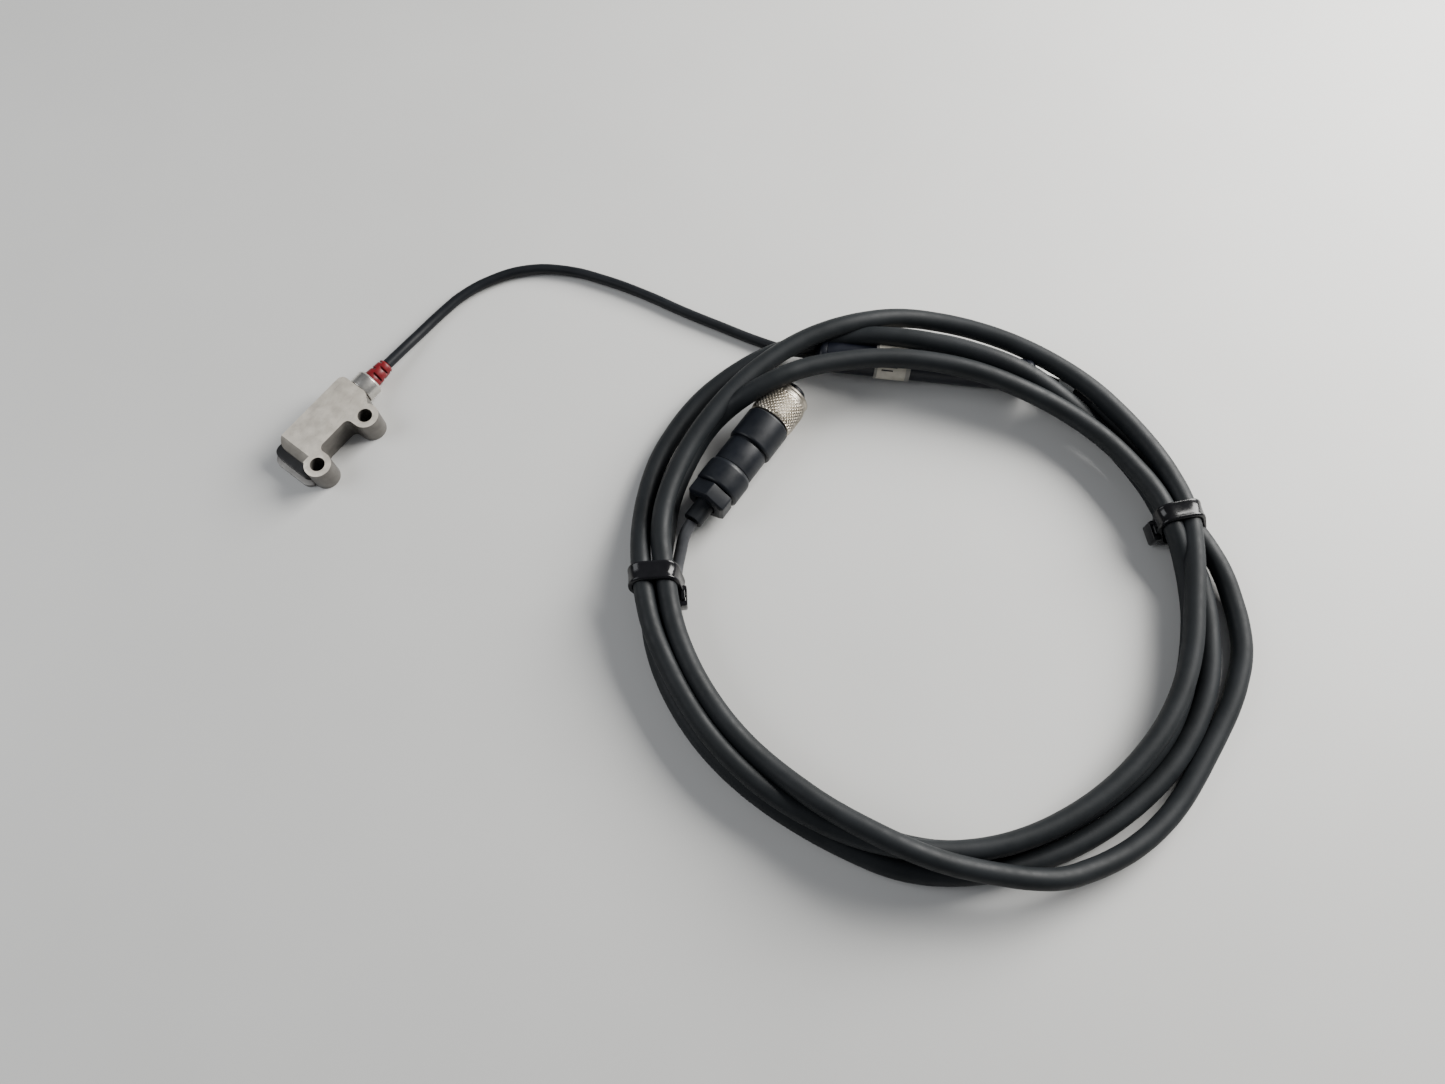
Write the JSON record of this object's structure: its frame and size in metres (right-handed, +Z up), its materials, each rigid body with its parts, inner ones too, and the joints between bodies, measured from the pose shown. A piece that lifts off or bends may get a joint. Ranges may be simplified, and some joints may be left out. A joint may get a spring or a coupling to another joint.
{
  "type": "proximity sensor",
  "caption": "Small rectangular inductive proximity sensor with screw ears, in-line tubular amplifier, coiled cable with ties and a round screw-coupling connector.",
  "frame": {"origin": "centre of the sensor head's footprint (steel head, neck and strain relief, without the free cable and what is on it), on the plane it lies on", "axes": "+X along the head from the sensing tip to the cable exit, -Y towards the two screw ears, +Z up out of the engraved top face"},
  "size_m": [0.1723, 0.2744, 0.0193],
  "materials": {
    "satin_steel": "fine blasted stainless",
    "polished_steel": "turned, bright",
    "black_resin": "semi-matt moulded resin",
    "ferrite": "sintered",
    "copper": "enamelled winding",
    "board": "solder mask",
    "chip": "moulded package",
    "nickel": "nickel plated",
    "red_boot": "slightly glossy elastomer",
    "cable_jacket": "smooth jacket",
    "coil_jacket": "matt tube",
    "tie_nylon": "glossy nylon",
    "amplifier_black": "semi-matt",
    "lens": "clear orange",
    "clip_grey": "clear holder",
    "label_beige": "printed film",
    "clear_sleeve": "translucent tube",
    "connector_black": "moulded polyamide",
    "seal_rubber": "nitrile",
    "gold_contact": "gold plated"
  },
  "bodies": {
    "sensor": {"head_housing": "satin_steel", "base_rim": "satin_steel", "sensing_face": "black_resin", "ferrite_core": "ferrite", "sensing_coil": "copper", "head_board": "board", "oscillator_chip": "chip", "neck_collar": "polished_steel", "crimp_ferrule": "nickel", "strain_relief_boot": "red_boot", "head_cable_stub": "cable_jacket", "head_cable": "cable_jacket", "output_lead": "cable_jacket", "plug_tail": "cable_jacket", "cable_coil": "coil_jacket", "cable_tie_left": "tie_nylon", "cable_tie_right": "tie_nylon", "amplifier_tube": "amplifier_black", "amplifier_input_cap": "amplifier_black", "amplifier_output_cap": "amplifier_black", "amplifier_board": "board", "amplifier_chip": "chip", "output_transistor": "chip", "sensitivity_resistor": "chip", "indicator_led": "lens", "indicator_lens": "lens", "label_clip": "clip_grey", "label_plate": "label_beige", "marker_sleeve": "clear_sleeve", "adapter_sleeve": "coil_jacket", "clamp_claw": "connector_black", "cable_seal": "seal_rubber", "shell_rear": "connector_black", "shell_front": "connector_black", "contact_carrier": "connector_black", "contact_1": "gold_contact", "contact_2": "gold_contact", "contact_3": "gold_contact", "contact_4": "gold_contact", "nut_retaining_ring": "nickel", "face_seal": "seal_rubber"},
    "coupling_nut": {"coupling_nut": "nickel"},
    "gland_carriage": {"thrust_washer": "nickel"},
    "gland_nut": {"gland_nut": "connector_black"}
  },
  "joints": [
    {"name": "coupling_nut_spin", "type": "hinge", "parent": "sensor", "child": "coupling_nut", "pos_m": [0.0439, -0.1065, 0.0073], "axis": [0.9996, 0.0279, 0], "continuous": true},
    {"name": "gland_travel", "type": "slide", "parent": "sensor", "child": "gland_carriage", "axis": [-0.9996, -0.0279, 0], "range_m": [0, 0.003]},
    {"name": "gland_nut_turn", "type": "hinge", "parent": "gland_carriage", "child": "gland_nut", "pos_m": [0.0439, -0.1065, 0.0073], "axis": [-0.9996, -0.0279, 0], "range_deg": [0, 1080]}
  ],
  "couplings": [
    {"joint": "gland_nut_turn", "follows": "gland_travel", "rad_per_m": 6283.2}
  ]
}
